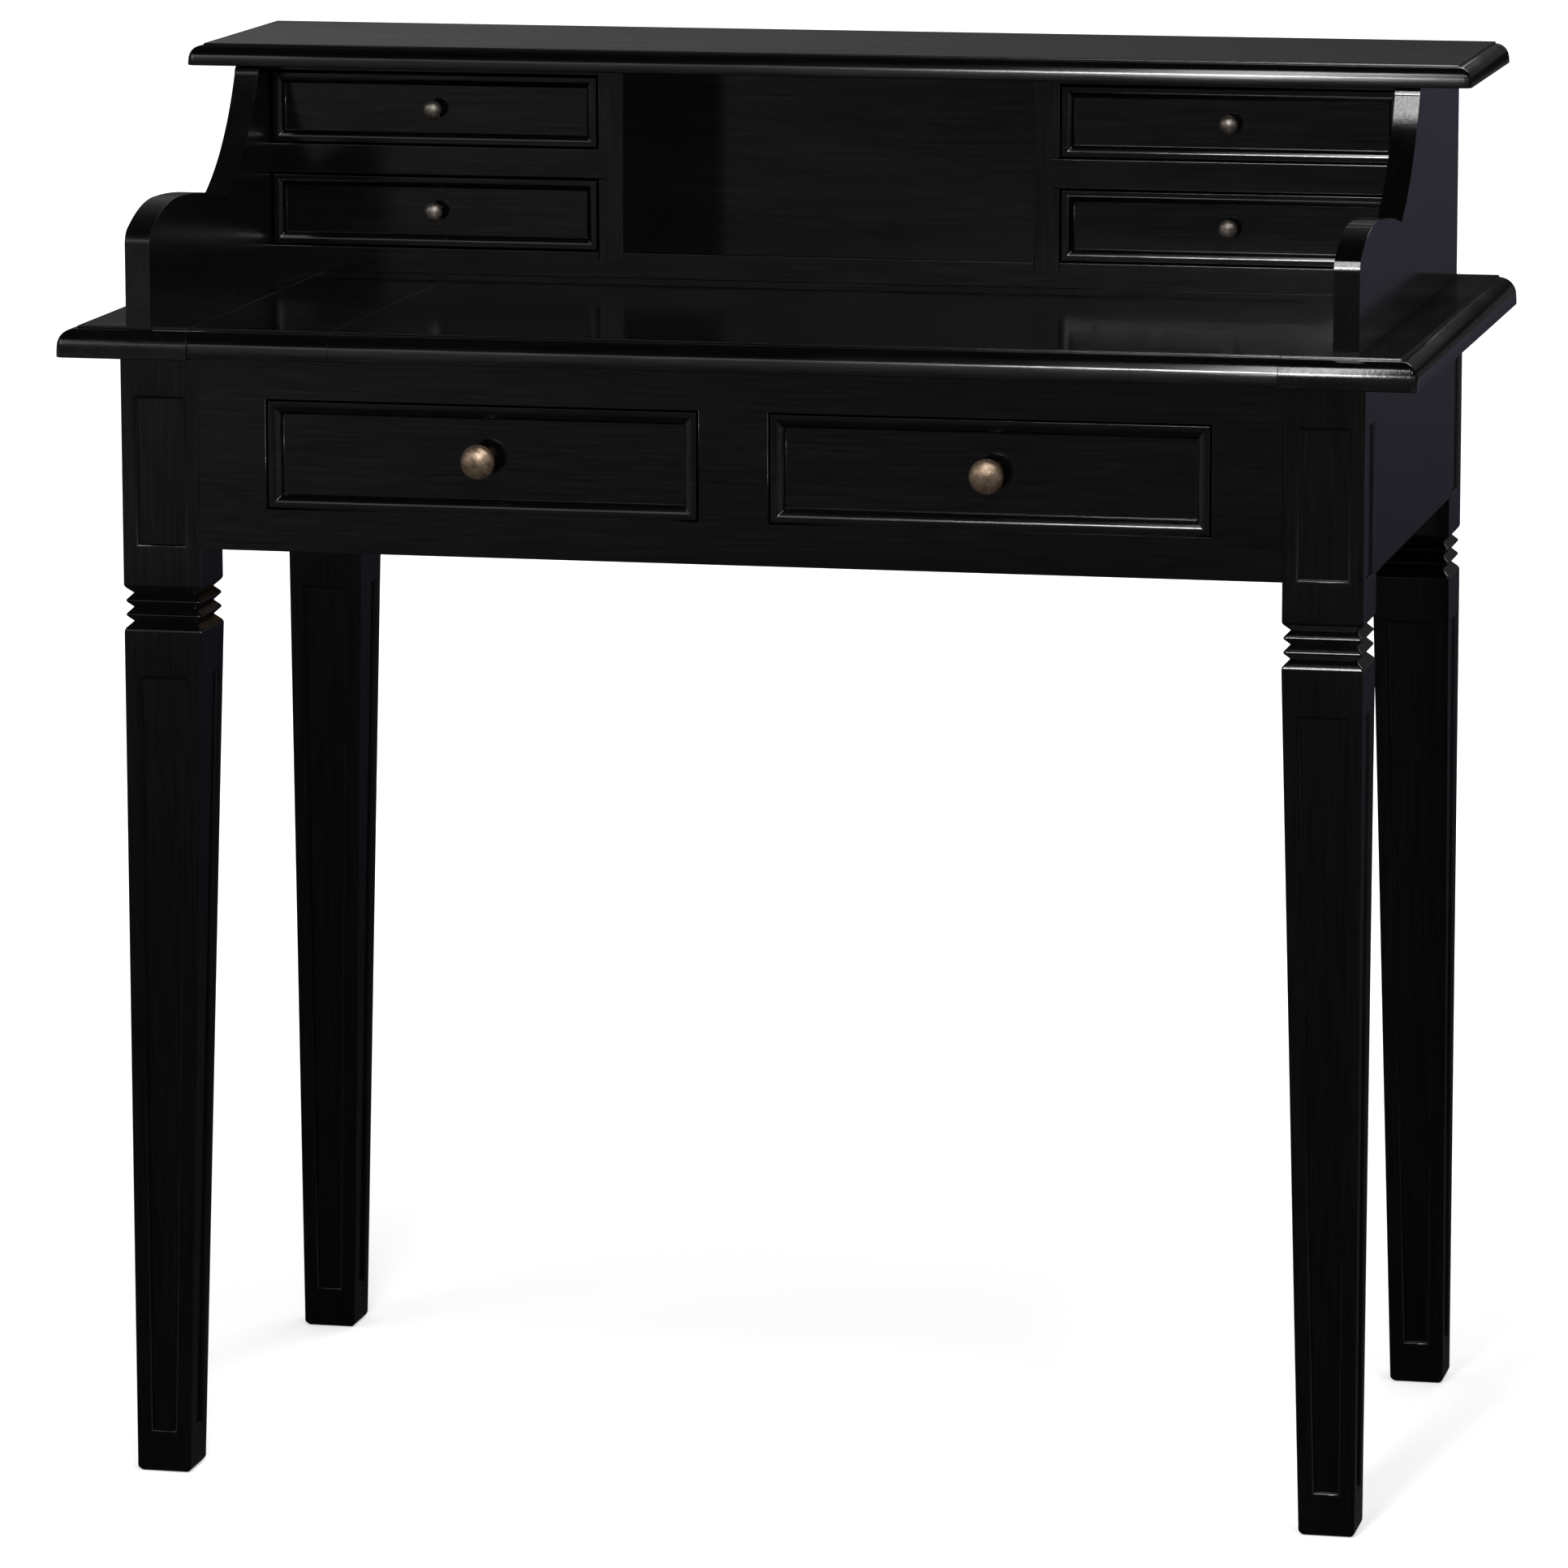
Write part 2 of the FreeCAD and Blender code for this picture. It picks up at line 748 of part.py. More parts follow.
def long_knob():
    radii = long_knob_rosette_radius, long_knob_neck_radius, long_knob_rim_radius, long_knob_brow_radius
    return radii, (long_knob_rosette, long_knob_throat, long_knob_rim, long_knob_brow, long_knob_reach)


def small_knob():
    radii = small_knob_rosette_radius, small_knob_neck_radius, small_knob_rim_radius, small_knob_brow_radius
    return radii, (small_knob_rosette, small_knob_throat, small_knob_rim, small_knob_brow, small_knob_reach)


def turned_knob(x, y_face, z, radii, stands):
    """A turned knob: spigot in the wood, rosette, plain neck, and a head that flares and closes in a dome."""
    rosette, neck, rim, brow = radii
    rosette_top, throat, rim_out, brow_out, reach = stands
    profile = [
        (0, -knob_spigot_length), (knob_spigot_radius, -knob_spigot_length), (knob_spigot_radius, 0),
        (rosette, 0), (rosette, rosette_top), (neck, rosette_top), (neck, throat),
        (rim, rim_out), (brow, brow_out), (0, reach),
    ]
    points = [Vector(x + radius, y_face - out, z) for radius, out in profile]
    face = Part.Face(Part.makePolygon(points + points[:1]))
    return face.revolve(Vector(x, y_face, z), Vector(0, 1, 0), 360)


def drawer(label, opening, y_front, y_back, sizes, knob, tail_count):
    """A dovetailed drawer in its opening, shut: front, two sides, back, bottom and knob."""
    x0, x1, z0, z1 = opening
    front_thickness, side_thickness, bottom_thickness, border_radius, tail_length = sizes
    left, right = x0 + front_gap, x1 - front_gap
    low, high = z0 + front_gap, z1 - front_gap
    shoulder = y_front + front_thickness
    rear = y_back - drawer_rear_gap
    side_low, side_high = z0 + running_gap, z1 - box_top_gap
    tail_low, tail_high = low + front_gap, min(high, side_high) - front_gap
    pitch_low = side_low + bottom_lift + bottom_thickness
    groove = (pitch_low - bottom_thickness, pitch_low)

    def side_tails(outer, inner):
        return tails(outer, inner, tail_low, tail_high, shoulder, tail_length, tail_count)

    bottom = box(
        left + side_thickness - groove_depth, right - side_thickness + groove_depth,
        shoulder - groove_depth, rear, *groove
    )
    inner_left, inner_right = left + side_thickness, right - side_thickness
    back = box(inner_left, inner_right, rear - side_thickness, rear, pitch_low, side_high)
    sides = []
    sockets = []
    for outer, inner in ((left, inner_left), (right, inner_right)):
        pins = side_tails(outer, inner)
        board = box(outer, inner, shoulder, rear, side_low, side_high).fuse(pins).removeSplitter()
        sides.append(board.cut(bottom))
        sockets += pins
    field = y_front + border_radius + border_step
    middle_x, middle_z = (left + right) / 2, (low + high) / 2
    hole = Part.makeCylinder(
        knob_spigot_radius + knob_hole_gap, knob_spigot_length + knob_hole_gap,
        Vector(middle_x, field, middle_z), Vector(0, 1, 0)
    )
    front = box(left, right, y_front, shoulder, low, high)
    front = front.cut([border_cutter(left, right, low, high, y_front, border_radius), hole, bottom] + sockets)
    return {
        label + "_front": front,
        label + "_sides": Part.Compound(sides),
        label + "_back": back,
        label + "_bottom": bottom,
        label + "_knob": turned_knob(middle_x, field, middle_z, *knob),
    }


def drawers():
    long_sizes = (
        long_front_thickness, long_side_thickness, long_bottom_thickness,
        long_border_radius, long_dovetail_length
    )
    small_sizes = (
        small_front_thickness, small_side_thickness, small_bottom_thickness,
        small_border_radius, small_dovetail_length
    )
    small_levels = {
        "lower": (small_lower_bottom, small_lower_top),
        "upper": (small_upper_bottom, small_upper_top),
    }
    nodes = {}
    for name, side in SIDES.items():
        span = sorted((side * half_stile, side * opening_outer))
        nodes.update(drawer(
            "drawer_" + name, (*span, opening_bottom, opening_top), leg_front, apron_inner_back,
            long_sizes, long_knob(), 3
        ))
        span = sorted((side * divider_outer, side * hutch_side_inner))
        for level, heights in small_levels.items():
            nodes.update(drawer(
                "small_drawer_" + level + "_" + name, (*span, *heights), hutch_front, hutch_back_inner,
                small_sizes, small_knob(), 2
            ))
    return nodes


# ---- the base, put together from its joints ----

def base():
    top_rail = rail(leg_front, 1, opening_top, panel_underside)
    bottom_rail = rail(leg_front, 1, apron_bottom, opening_bottom)
    back_apron = rail(leg_back, -1, apron_bottom, panel_underside)
    side_body = box(
        apron_inner_side, leg_outer, leg_front + leg_square, leg_back - leg_square, apron_bottom, leg_top
    )
    side_apron = side_body.fuse(side_tenon(0)).removeSplitter()

    stile_mortises = [stile_tenon(x0, x1, mortise_end_gap) for x0, x1 in stile_spans().values()]
    outer, centre = carrier_spans().values()
    runner_mortises = []
    for level in (runner_level(), kicker_level()):
        bar = runner_stubs(*outer, level, mortise_end_gap)
        runner_mortises += [bar, mirror_x(bar), runner_stubs(*centre, level, mortise_end_gap)]
    cuts = stile_mortises + runner_mortises + button_slots()

    nodes = {
        "apron_top_rail": top_rail.cut(cuts),
        "apron_bottom_rail": bottom_rail.cut(stile_mortises + runner_mortises),
        "apron_back": back_apron.cut(runner_mortises + button_slots()),
    }
    for name, side in SIDES.items():
        nodes["apron_side_" + name] = on_side(side_apron, side).cut(button_slots())
    spans = stile_spans()
    nodes["apron_stile_centre"] = stile(*spans["centre"])
    nodes["apron_stiles_end"] = Part.Compound([stile(*spans["left"]), stile(*spans["right"])])

    front_mortises = []
    for z0, z1 in ((opening_top, panel_underside), (apron_bottom, opening_bottom)):
        low, high = z0 + tenon_shoulder, z1 - tenon_shoulder
        front_mortises.append(end_tenon(leg_front, 1, low, high, mortise_end_gap))
    back_mortises = [end_tenon(
        leg_back, -1, apron_bottom + tenon_shoulder, panel_underside - tenon_shoulder, mortise_end_gap
    )]
    nodes.update(legs(front_mortises, back_mortises, [side_tenon(mortise_end_gap)]))
    return nodes


def build():
    nodes = {}
    nodes.update(base())
    nodes.update(runners())
    nodes.update(kickers())
    nodes.update(desk_top())
    nodes.update(buttons())
    nodes.update(hutch())
    nodes.update(drawers())
    return nodes


os.makedirs("parts", exist_ok=True)
for node, shape in build().items():
    if not shape.isValid():
        print("not valid:", node)
    shape.exportStep("parts/" + node + ".step")
    print(node, len(shape.Solids), "solids", round(shape.Volume / 1000, 1), "cm3")
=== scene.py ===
import json
import math

import bmesh
import bpy
from mathutils import Matrix, Vector
from mathutils.bvhtree import BVHTree


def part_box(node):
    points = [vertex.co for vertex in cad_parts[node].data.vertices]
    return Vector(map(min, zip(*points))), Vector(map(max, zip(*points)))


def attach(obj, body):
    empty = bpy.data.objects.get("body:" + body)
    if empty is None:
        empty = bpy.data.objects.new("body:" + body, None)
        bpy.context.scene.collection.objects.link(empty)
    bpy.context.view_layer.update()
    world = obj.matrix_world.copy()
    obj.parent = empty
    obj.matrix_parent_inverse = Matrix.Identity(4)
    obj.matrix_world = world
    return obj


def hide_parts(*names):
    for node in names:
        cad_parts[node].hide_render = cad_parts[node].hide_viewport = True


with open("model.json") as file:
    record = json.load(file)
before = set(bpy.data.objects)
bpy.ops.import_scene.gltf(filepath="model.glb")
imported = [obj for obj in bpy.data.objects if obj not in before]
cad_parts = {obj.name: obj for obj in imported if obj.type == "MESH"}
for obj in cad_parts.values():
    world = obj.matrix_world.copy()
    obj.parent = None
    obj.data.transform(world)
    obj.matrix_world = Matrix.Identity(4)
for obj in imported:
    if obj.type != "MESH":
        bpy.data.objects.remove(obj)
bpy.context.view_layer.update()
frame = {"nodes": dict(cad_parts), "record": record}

nodes = frame["nodes"]
bodyOf = {node: body for body, members in frame["record"]["behaviour"]["bodies"].items() for node in members}
slotOf = {part["node"]: part["material_slot"] for part in frame["record"]["subparts"]}


def link(tree, source, target):
    tree.links.new(source, target)


seedShift = (1.0, 0.7, 1.3)  # how far a seed moves a pattern along x, y and z


# Noise in object space, drawn out along the axis whose stretch is small
def noise(tree, vector, stretch, scale, detail=4.0, roughness=0.55, seed=0.0):
    mapping = tree.nodes.new("ShaderNodeMapping")
    mapping.inputs["Scale"].default_value = stretch
    mapping.inputs["Location"].default_value = [seed * shift for shift in seedShift]
    link(tree, vector, mapping.inputs["Vector"])
    node = tree.nodes.new("ShaderNodeTexNoise")
    node.inputs["Scale"].default_value = scale
    node.inputs["Detail"].default_value = detail
    node.inputs["Roughness"].default_value = roughness
    link(tree, mapping.outputs["Vector"], node.inputs["Vector"])
    return node.outputs["Fac"]


# Carries a value from the range low to high over to toLow to toHigh, and stops at its ends
def mapped(tree, value, low, high, toLow, toHigh):
    node = tree.nodes.new("ShaderNodeMapRange")
    limits = (("From Min", low), ("From Max", high), ("To Min", toLow), ("To Max", toHigh))
    for name, number in limits:
        node.inputs[name].default_value = number
    link(tree, value, node.inputs["Value"])
    return node.outputs["Result"]


def ramp(tree, value, stops):
    node = tree.nodes.new("ShaderNodeValToRGB")
    elements = node.color_ramp.elements
    stops = list(stops)
    while len(elements) < len(stops):
        elements.new(0.5)
    for element, (place, colour) in zip(elements, stops):
        element.position = place
        element.color = (*colour, 1)
    link(tree, value, node.inputs["Fac"])
    return node.outputs["Color"]


def mathNode(tree, operation, first, second):
    node = tree.nodes.new("ShaderNodeMath")
    node.operation = operation
    for socket, value in zip(node.inputs, (first, second)):
        if isinstance(value, (int, float)):
            socket.default_value = value
        else:
            link(tree, value, socket)
    return node.outputs[0]


def bumped(tree, shader, height, distance):
    bump = tree.nodes.new("ShaderNodeBump")
    bump.inputs["Distance"].default_value = distance
    link(tree, height, bump.inputs["Height"])
    link(tree, bump.outputs["Normal"], shader.inputs["Normal"])


def newMaterial(name):
    material = bpy.data.materials.new(name)
    material.use_nodes = True
    tree = material.node_tree
    shader = tree.nodes["Principled BSDF"]
    where = tree.nodes.new("ShaderNodeTexCoord").outputs["Object"]
    return material, tree, shader, where


even = (1, 1, 1)
alongAxis = {"x": (0.045, 1.0, 1.0), "y": (1.0, 0.045, 1.0), "z": (1.0, 1.0, 0.045)}

# Black lacquer. Each noise has its scale per metre, its detail, its roughness and a shift of its seed.
lacquerLook = {
    "deep": (0.0006, 0.0006, 0.0007), "bloom": (0.0016, 0.0016, 0.0017),
    "rubbed": (0.013, 0.0105, 0.009),  # the wood's brown through worn arrises
    "smooth": 0.08, "satin": 0.15,  # roughness where the finish is brightest and dullest
    "shineLow": 0.40, "shineHigh": 0.62,
    "streaks": (420, 5, 0.6, 0), "tone": (34, 4, 0.6, 3),
    "cloud": (7, 3, 0.5, 7), "dust": (1500, 2, 0.5, 0),
    "toneLift": 0.5, "grainRange": (0.30, 0.72), "cloudRange": (0.75, 1.25),
    "grainHeight": 0.000045, "dustHeight": 0.15, "toneHeight": 1.6,
    "rubWidth": 0.0007, "rubAmount": 0.30, "rubSamples": 4, "rubRoughness": 0.3,
    "rubTurn": (0.985, 0.80), "patches": (45, 4, 0.7, 11), "patchRange": (0.52, 0.70),
}


# axis: which way the grain runs; satin: added roughness; wear: how far the arrises are rubbed
def lacquer(axis, seed=0.0, satin=0.0, wear=1.0, look=lacquerLook):
    material, tree, shader, where = newMaterial("lacquer_%s_%g_%g_%g" % (axis, seed, satin, wear))

    def marks(name, stretch):
        scale, detail, roughness, shift = look[name]
        return noise(tree, where, stretch, scale, detail, roughness, seed + shift)

    streaks = marks("streaks", alongAxis[axis])
    tone = marks("tone", alongAxis[axis])
    cloud = marks("cloud", even)
    dust = marks("dust", even)
    grain = mathNode(tree, "MULTIPLY", streaks, mathNode(tree, "ADD", tone, look["toneLift"]))
    # rubbed arrises: where the rounded-over normal leaves the face's own
    bevel = tree.nodes.new("ShaderNodeBevel")
    bevel.samples = look["rubSamples"]
    bevel.inputs["Radius"].default_value = look["rubWidth"]
    face = tree.nodes.new("ShaderNodeNewGeometry")
    dot = tree.nodes.new("ShaderNodeVectorMath")
    dot.operation = "DOT_PRODUCT"
    link(tree, bevel.outputs["Normal"], dot.inputs[0])
    link(tree, face.outputs["True Normal"], dot.inputs[1])
    edge = mapped(tree, dot.outputs["Value"], *look["rubTurn"], 0, 1)
    patchy = mapped(tree, marks("patches", even), *look["patchRange"], 0, look["rubAmount"] * wear)
    rub = mathNode(tree, "MULTIPLY", edge, patchy)
    body = ramp(tree, grain, zip(look["grainRange"], (look["deep"], look["bloom"])))
    mix = tree.nodes.new("ShaderNodeMix")
    mix.data_type = "RGBA"
    link(tree, rub, mix.inputs["Factor"])
    link(tree, body, mix.inputs["A"])
    mix.inputs["B"].default_value = (*look["rubbed"], 1)
    link(tree, mix.outputs["Result"], shader.inputs["Base Color"])
    rough = mapped(tree, mathNode(tree, "ADD", tone, cloud), *look["cloudRange"],
                   look["smooth"] + satin, look["satin"] + satin)
    rough = mathNode(tree, "ADD", rough, mathNode(tree, "MULTIPLY", rub, look["rubRoughness"]))
    link(tree, rough, shader.inputs["Roughness"])
    shine = mapped(tree, grain, *look["grainRange"], look["shineLow"], look["shineHigh"])
    link(tree, shine, shader.inputs["Specular IOR Level"])
    height = mathNode(tree, "ADD", streaks, mathNode(tree, "MULTIPLY", dust, look["dustHeight"]))
    height = mathNode(tree, "ADD", height, mathNode(tree, "MULTIPLY", tone, look["toneHeight"]))
    bumped(tree, shader, height, look["grainHeight"])
    return material


# Sanded wood inside the drawers and under the top
woodLook = {
    "dark": (0.085, 0.048, 0.026), "light": (0.22, 0.138, 0.080), "toneRange": (0.34, 0.66),
    "rings": (55, 5, 0.55), "ringShare": 0.75,
    "pores": (700, 3, 0.6), "poreShift": 5, "poreShare": 0.3, "poreRange": (0.3, 0.7),
    "roughLow": 0.54, "roughHigh": 0.72, "grainHeight": 0.00025,
    "seeds": {"x": 0.0, "y": 4.0},
}


def bareWood(axis, look=woodLook):
    seed = look["seeds"][axis]
    material, tree, shader, where = newMaterial("wood_%s_%g" % (axis, seed))
    rings = noise(tree, where, alongAxis[axis], *look["rings"], seed)
    pores = noise(tree, where, alongAxis[axis], *look["pores"], seed + look["poreShift"])
    grain = mathNode(tree, "ADD", mathNode(tree, "MULTIPLY", rings, look["ringShare"]),
                     mathNode(tree, "MULTIPLY", pores, look["poreShare"]))
    colour = ramp(tree, grain, zip(look["toneRange"], (look["dark"], look["light"])))
    link(tree, colour, shader.inputs["Base Color"])
    rough = mapped(tree, pores, *look["poreRange"], look["roughHigh"], look["roughLow"])
    link(tree, rough, shader.inputs["Roughness"])
    bumped(tree, shader, grain, look["grainHeight"])
    return material


# Darkened bronze of the knobs, darker on the small drawers: metal, the patina in its hollows, and its gloss
bronzeLook = {
    "large": {"metal": (0.29, 0.215, 0.15), "patina": (0.135, 0.092, 0.06)},
    "small": {"metal": (0.16, 0.14, 0.125), "patina": (0.065, 0.056, 0.048)},
    "patinaRange": (0.38, 0.56),
    "blotches": (260, 5, 0.65, 2), "blotchShare": 0.8,
    "pits": (1400, 3, 0.6, 5), "pitShare": 0.2, "pitRange": (0.3, 0.7), "pitHeight": 0.00012,
    "roughLow": 0.28, "roughHigh": 0.44, "metallic": 0.85,
}


def bronze(size, look=bronzeLook):
    material, tree, shader, where = newMaterial("antique_bronze_" + size)
    blotches = noise(tree, where, even, *look["blotches"])
    pits = noise(tree, where, even, *look["pits"])
    patina = mathNode(tree, "ADD", mathNode(tree, "MULTIPLY", blotches, look["blotchShare"]),
                      mathNode(tree, "MULTIPLY", pits, look["pitShare"]))
    colour = ramp(tree, patina, zip(look["patinaRange"], (look[size]["patina"], look[size]["metal"])))
    link(tree, colour, shader.inputs["Base Color"])
    shader.inputs["Metallic"].default_value = look["metallic"]
    rough = mapped(tree, pits, *look["pitRange"], look["roughLow"], look["roughHigh"])
    link(tree, rough, shader.inputs["Roughness"])
    bumped(tree, shader, pits, look["pitHeight"])
    return material


lacquers = {}


def lacquerFor(axis, seed=0.0, satin=0.0, wear=1.0):
    key = (axis, seed, satin, wear)
    if key not in lacquers:
        lacquers[key] = lacquer(*key)
    return lacquers[key]


knobMetals = {size: bronze(size) for size in ("large", "small")}
woods = {axis: bareWood(axis) for axis in woodLook["seeds"]}
print("materials made")


# A piece that stands for one node, with that node's body and slot
def addPiece(name, mesh, node, material):
    piece = bpy.data.objects.new(name, mesh)
    bpy.context.scene.collection.objects.link(piece)
    mesh.materials.clear()
    mesh.materials.append(material)
    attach(piece, bodyOf[node])
    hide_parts(node)
    return piece


# Rounds the edges that carry a bevel weight, and bakes the result
def arrises(piece, width, segments):
    bevel = piece.modifiers.new("arris", "BEVEL")
    bevel.width = width
    bevel.segments = segments
    bevel.limit_method = "WEIGHT"
    bevel.use_clamp_overlap = True
    bevel.harden_normals = True
    bevel.miter_outer = "MITER_SHARP"
    for face in piece.data.polygons:
        face.use_smooth = True
    graph = bpy.context.evaluated_depsgraph_get()
    baked = bpy.data.meshes.new_from_object(piece.evaluated_get(graph))
    piece.modifiers.clear()
    piece.data = baked


def meshFrom(name, form):
    bmesh.ops.recalc_face_normals(form, faces=form.faces)
    mesh = bpy.data.meshes.new(name)
    form.to_mesh(mesh)
    form.free()
    return mesh


# Metres. Points closer than weld are one; in the mouldings, whose steps are small, closer than fineWeld.
weld = 0.00001
fineWeld = 0.000002
hair = 0.000001  # anything shorter has no length


def weightsOf(form):
    layers = form.edges.layers.float
    return layers.get("bevel_weight_edge") or layers.new("bevel_weight_edge")


def polygon(form, points):
    return form.faces.new([form.verts.new(point) for point in points])


# Legs, in metres: block, rings and foot, and the sunk panels' margins, moulding and depth
legLook = {
    "block": 0.1512, "rings": 3, "pitch": 0.0092, "ringDepth": 0.005, "ridge": 0.0003,
    "foot": 0.036, "footChamfer": 0.0025, "blockMargin": 0.0085, "blockEnd": 0.026,
    "shaftMargin": 0.009, "shaftTop": 0.030, "shaftBottom": 0.024,
    "mouldWidth": 0.0023, "mouldSteps": 6, "panelSink": 0.0021,
    "arris": 0.0012, "arrisSteps": 3, "sharp": 30,
    "finish": ("z", 1.0),  # grain and seed of the lacquer
}


# The outline moved in from each edge by its margin, in its own plane
def insetCorners(corners, margins):
    normal = (corners[1] - corners[0]).cross(corners[2] - corners[1]).normalized()
    count = len(corners)
    lines = []
    for i in range(count):
        along = (corners[(i + 1) % count] - corners[i]).normalized()
        lines.append((corners[i] + normal.cross(along) * margins[i], along))
    moved = []
    for i in range(count):
        point, along = lines[i - 1]
        other, otherAlong = lines[i]
        cross = along.cross(otherAlong)
        moved.append(point + along * ((other - point).cross(otherAlong).dot(cross) / cross.dot(cross)))
    return moved


# A sunk field inside a rounded moulding. The corners run so that their normal points outwards.
def sunkPanel(form, corners, margins, look):
    normal = (corners[1] - corners[0]).cross(corners[2] - corners[1]).normalized()
    rows = [corners]
    for step in range(look["mouldSteps"] + 1):
        turn = math.radians(90 * step / look["mouldSteps"])
        across, down = look["mouldWidth"] * math.sin(turn), look["panelSink"] * (1 - math.cos(turn))
        rows.append([p - normal * down for p in insetCorners(corners, [m + across for m in margins])])
    for outer, inner in zip(rows, rows[1:]):
        for i in range(4):
            j = (i + 1) % 4
            polygon(form, [outer[i], outer[j], inner[j], inner[i]])
    polygon(form, rows[-1])


def leg(node, look=legLook):
    low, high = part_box(node)
    right, back = low.x > 0, low.y > 0
    blockLow = high.z - look["block"]
    shaftTop = blockLow - look["rings"] * look["pitch"]
    taper = (high.x - low.x) - look["foot"]
    ankle = taper * (1 - look["footChamfer"] / shaftTop)

    # four corners, anticlockwise from above; inner is how far the two inner faces have tapered
    def outline(z, inset, inner=0.0):
        x0, x1 = low.x + (inner if right else 0), high.x - (0 if right else inner)
        y0, y1 = low.y + (inner if back else 0), high.y - (0 if back else inner)
        return [Vector((x0 + inset, y0 + inset, z)), Vector((x1 - inset, y0 + inset, z)),
                Vector((x1 - inset, y1 - inset, z)), Vector((x0 + inset, y1 - inset, z))]

    shaft = 1  # the row that the tapered shaft starts from
    rows = [outline(0, look["footChamfer"], taper), outline(look["footChamfer"], 0, ankle),
            outline(shaftTop, 0)]
    for ring in range(look["rings"]):
        base = shaftTop + ring * look["pitch"]
        last = ring == look["rings"] - 1
        rows.append(outline(base + look["pitch"] / 2, look["ringDepth"]))
        rows.append(outline(base + look["pitch"], 0 if last else look["ridge"]))
    rows.append(outline(high.z, 0))
    block = len(rows) - 2
    # the block has panels on its two outer faces: 0 front, 1 right, 2 back, 3 left
    panelled = (2 if back else 0, 1 if right else 3)
    shaftMargins = [look["shaftBottom"], look["shaftMargin"], look["shaftTop"], look["shaftMargin"]]
    blockMargins = [look["blockEnd"], look["blockMargin"], look["blockEnd"], look["blockMargin"]]
    form = bmesh.new()
    polygon(form, rows[0][::-1])
    polygon(form, rows[-1])
    for row, (lower, upper) in enumerate(zip(rows, rows[1:])):
        for i in range(4):
            j = (i + 1) % 4
            corners = [lower[i], lower[j], upper[j], upper[i]]
            if row == shaft:
                sunkPanel(form, corners, shaftMargins, look)
            elif row == block and i in panelled:
                sunkPanel(form, corners, blockMargins, look)
            else:
                polygon(form, corners)
    bmesh.ops.remove_doubles(form, verts=form.verts, dist=weld)
    # only arrises that stand out are rounded, so grooves and panel corners stay crisp
    bmesh.ops.recalc_face_normals(form, faces=form.faces)
    weights = weightsOf(form)
    for edge in form.edges:
        sharp = edge.calc_face_angle(0) > math.radians(look["sharp"])
        edge[weights] = float(sharp and edge.is_convex)
        edge.smooth = not sharp or edge.is_convex
    arrises(addPiece(node + "_form", meshFrom(node + "_form", form), node, lacquerFor(*look["finish"])),
            look["arris"], look["arrisSteps"])


for node in sorted(nodes):
    if node.startswith("leg_"):
        leg(node)
print("legs made")

# Moulded boards, in metres: ovolo, the upright step over it, how far the flat below it leans back,
# and the grain, seed and added satin of the finish
boardLook = {
    "panel": {"round": 0.012, "step": 0.0014, "lean": 0.0008, "roundSteps": 20, "finish": ("x", 2.0, 0.0)},
    "ends": {"round": 0.012, "step": 0.0014, "lean": 0.0003, "roundSteps": 20, "finish": ("y", 3.0, 0.03)},
    "hutch": {"round": 0.0095, "step": 0.0013, "lean": 0.0005, "roundSteps": 18, "finish": ("x", 4.0, 0.03)},
    "corner": 0.005, "cornerSteps": 6,  # the eased corner in plan
    "leanSteps": 6, "settling": 30,
    "arris": 0.0006, "arrisSteps": 3, "sharp": 25,
    "jointArris": 0.25,  # the share of the arris along a glued joint
    "innerLine": 0.093,  # from the end board to the next glued joint
    "endGap": 0.0002, "innerGap": 0.0001,  # half the width of each joint's dark line
}


# The moulded edge's line in plan, from the left end to the right end, at an inset from the outline
def planPath(x0, x1, y0, y1, inset, left, right):
    corner = boardLook["corner"]
    reach, radius = max(corner, inset), max(corner - inset, 0.0)

    def eased(x, start):
        steps = boardLook["cornerSteps"]
        turns = [math.radians(start + 90 * i / steps) for i in range(steps + 1)]
        return [(x + radius * math.cos(turn), y0 + reach + radius * math.sin(turn)) for turn in turns]

    front = y0 + inset
    path = [(x0 + inset, y1)] + eased(x0 + reach, 180) if left else [(x0, front)]
    return path + (eased(x1 - reach, 270) + [(x1 - inset, y1)] if right else [(x1, front)])


# The corners without those that lie on the one before them
def distinct(points):
    return [point for i, point in enumerate(points) if (point - points[i - 1]).length > hair]


